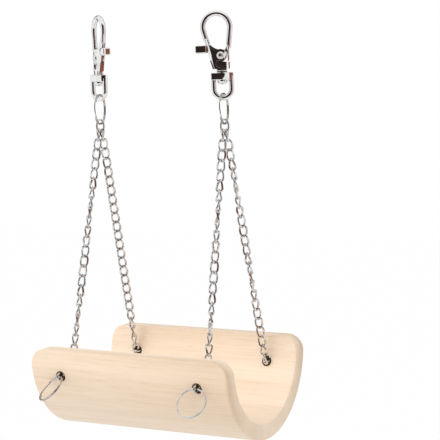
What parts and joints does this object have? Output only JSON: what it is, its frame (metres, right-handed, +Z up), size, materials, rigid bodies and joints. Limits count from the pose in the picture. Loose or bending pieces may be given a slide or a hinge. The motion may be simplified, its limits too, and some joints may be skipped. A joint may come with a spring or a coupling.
{
  "type": "hanging pet swing",
  "caption": "Wooden half-pipe swing for a small pet, hung by curb chains and split rings from swivel trigger clasps; it swings both ways, the hooks turn and their sprung levers open.",
  "frame": {"origin": "top of the left hook's eye, on the left swivel axis, where the hook bears on a bar", "axes": "+Z up, +X along the trough from the left clasp to the right clasp, +Y away from the viewer of the picture"},
  "size_m": [0.1001, 0.0915, 0.189],
  "materials": {
    "wood": "sanded, unvarnished pale pine",
    "chain_nickel": "bright nickel plate",
    "ring_nickel": "bright nickel plate",
    "clasp_chrome": "polished plate on a zinc casting",
    "lever_chrome": "polished plate",
    "rivet_steel": "bright",
    "spring_steel": "drawn wire"
  },
  "bodies": {
    "left_hook": {"left_hook": "clasp_chrome", "left_lever_rivet": "rivet_steel", "left_lever_spring": "spring_steel"},
    "left_lever": {"left_lever": "lever_chrome"},
    "left_bail": {"left_swivel_bail": "clasp_chrome"},
    "left_ring": {"left_hanger_ring": "ring_nickel"},
    "left_chains": {"left_apex_link": "chain_nickel", "front_left_chain": "chain_nickel", "back_left_chain": "chain_nickel"},
    "trough": {"trough": "wood", "front_left_inner_lead_link": "chain_nickel", "front_left_outer_lead_link": "chain_nickel", "front_right_inner_lead_link": "chain_nickel", "front_right_outer_lead_link": "chain_nickel", "back_left_inner_lead_link": "chain_nickel", "back_left_outer_lead_link": "chain_nickel", "back_right_inner_lead_link": "chain_nickel", "back_right_outer_lead_link": "chain_nickel"},
    "front_left_stop": {"front_left_stop_ring": "ring_nickel"},
    "front_right_stop": {"front_right_stop_ring": "ring_nickel"},
    "back_left_stop": {"back_left_stop_ring": "ring_nickel"},
    "back_right_stop": {"back_right_stop_ring": "ring_nickel"},
    "right_chains": {"right_apex_link": "chain_nickel", "front_right_chain": "chain_nickel", "back_right_chain": "chain_nickel"},
    "right_ring": {"right_hanger_ring": "ring_nickel"},
    "right_bail": {"right_swivel_bail": "clasp_chrome"},
    "right_hook": {"right_hook": "clasp_chrome", "right_lever_rivet": "rivet_steel", "right_lever_spring": "spring_steel"},
    "right_lever": {"right_lever": "lever_chrome"}
  },
  "joints": [
    {"name": "left_lever_pivot", "type": "hinge", "parent": "left_hook", "child": "left_lever", "pos_m": [0.00024, -0.00018, -0.01707], "axis": [0.5878, 0.809, 0], "range_deg": [0, 40], "stiffness_Nm_per_rad": 0.01, "springref_deg": -28.65, "deforming": ["left_lever_spring"]},
    {"name": "left_swivel", "type": "hinge", "parent": "left_hook", "child": "left_bail", "pos_m": [0, 0, -0.02466], "axis": [0, 0, 1], "continuous": true},
    {"name": "cross_swing", "type": "hinge", "parent": "left_bail", "child": "left_ring", "pos_m": [0, 0, -0.03567], "axis": [1, 0, 0], "range_deg": [-40, 40]},
    {"name": "long_swing", "type": "hinge", "parent": "left_ring", "child": "left_chains", "pos_m": [0, 0, -0.04711], "axis": [0, 1, 0], "range_deg": [-22, 22]},
    {"name": "left_hole_turn", "type": "hinge", "parent": "left_chains", "child": "trough", "pos_m": [-0.00175, 0, -0.15807], "axis": [0, 1, 0], "range_deg": [-22, 22]},
    {"name": "right_hole_turn", "type": "hinge", "parent": "trough", "child": "right_chains", "pos_m": [0.06825, 0, -0.15807], "axis": [0, 1, 0], "range_deg": [-22, 22]},
    {"name": "right_apex_turn", "type": "hinge", "parent": "right_chains", "child": "right_ring", "pos_m": [0.065, 0, -0.04711], "axis": [0, 1, 0], "range_deg": [-22, 22]},
    {"name": "right_ring_turn", "type": "hinge", "parent": "right_ring", "child": "right_bail", "pos_m": [0.06466, 0, -0.03567], "axis": [1, 0, 0], "range_deg": [-40, 40]},
    {"name": "right_swivel", "type": "hinge", "parent": "right_bail", "child": "right_hook", "pos_m": [0.06433, 0, -0.02467], "axis": [-0.0299, 0, 0.9996], "continuous": true},
    {"name": "right_lever_pivot", "type": "hinge", "parent": "right_hook", "child": "right_lever", "pos_m": [0.06384, -0.00015, -0.01709], "axis": [0.4846, -0.8746, 0.0145], "range_deg": [0, 40], "stiffness_Nm_per_rad": 0.01, "springref_deg": -28.65, "deforming": ["right_lever_spring"]},
    {"name": "front_left_stop_flap", "type": "hinge", "parent": "trough", "child": "front_left_stop", "pos_m": [-0.00175, -0.03759, -0.15807], "axis": [-1, 0, 0], "range_deg": [0, 40]},
    {"name": "front_right_stop_flap", "type": "hinge", "parent": "trough", "child": "front_right_stop", "pos_m": [0.06825, -0.03759, -0.15807], "axis": [-1, 0, 0], "range_deg": [-34, 50]},
    {"name": "back_left_stop_flap", "type": "hinge", "parent": "trough", "child": "back_left_stop", "pos_m": [-0.00175, 0.03759, -0.15807], "axis": [1, 0, 0], "range_deg": [-17, 60]},
    {"name": "back_right_stop_flap", "type": "hinge", "parent": "trough", "child": "back_right_stop", "pos_m": [0.06825, 0.03759, -0.15807], "axis": [1, 0, 0], "range_deg": [-17, 60]}
  ],
  "couplings": [
    {"joint": "left_hole_turn", "follows": "long_swing", "ratio": -0.9286},
    {"joint": "right_hole_turn", "follows": "long_swing", "ratio": 0.9286},
    {"joint": "right_apex_turn", "follows": "long_swing", "ratio": -1},
    {"joint": "right_ring_turn", "follows": "cross_swing", "ratio": -1}
  ]
}
